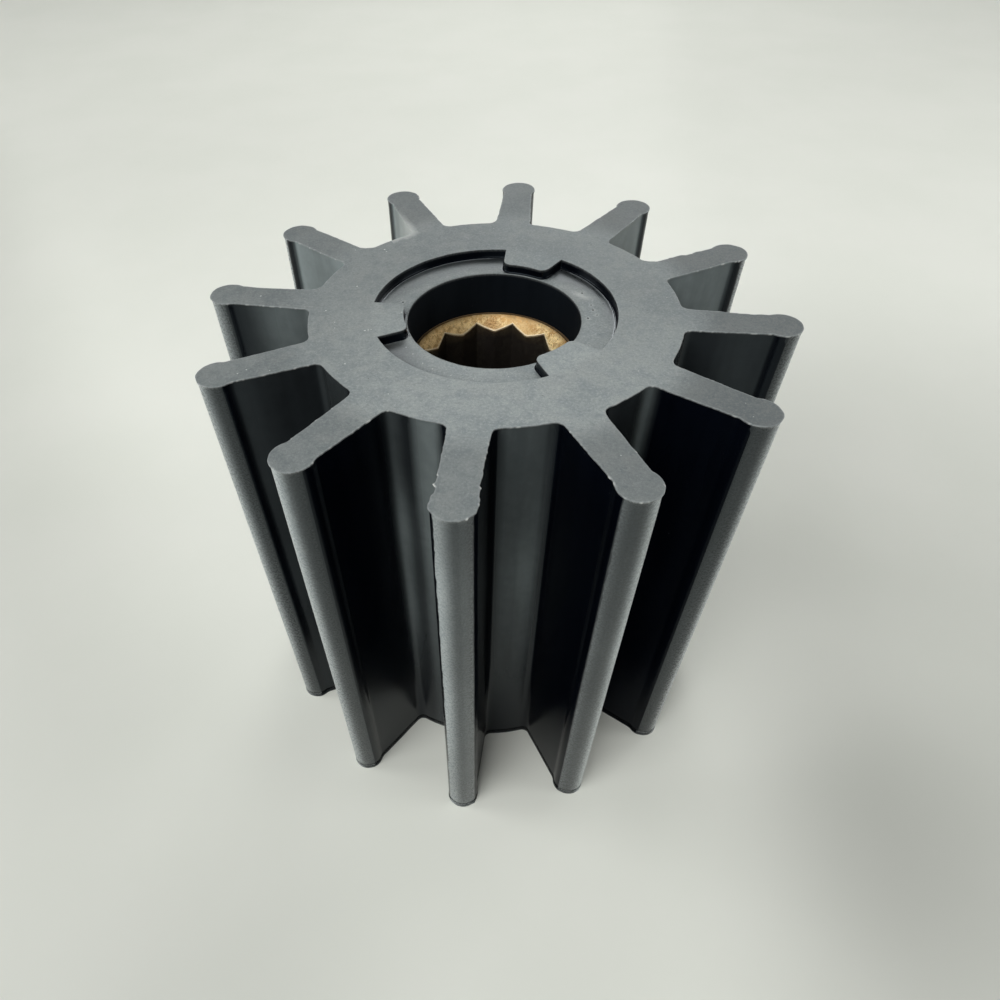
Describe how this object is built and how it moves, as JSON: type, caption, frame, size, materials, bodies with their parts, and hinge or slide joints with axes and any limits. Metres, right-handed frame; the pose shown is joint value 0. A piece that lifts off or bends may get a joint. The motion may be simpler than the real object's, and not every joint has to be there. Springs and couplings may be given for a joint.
{
  "type": "rubber pump impeller",
  "caption": "Flexible rubber pump impeller: straight blades with thickened round tips around a hub, ring recess in one end face, splined brass insert set back in the bore.",
  "frame": {"origin": "centre of the plain lower end face, on the bore axis", "axes": "+Z along the bore towards the recessed end face, +Y along the centreline of one blade"},
  "size_m": [0.095, 0.095, 0.088],
  "materials": {
    "rubber": "moulded black nitrile rubber, walls with a soft sheen, end faces matt and dusty",
    "brass": "machined brass, dulled and speckled"
  },
  "bodies": {
    "root": {"rubber_body": "rubber", "splined_hub_insert": "brass"}
  },
  "joints": []
}
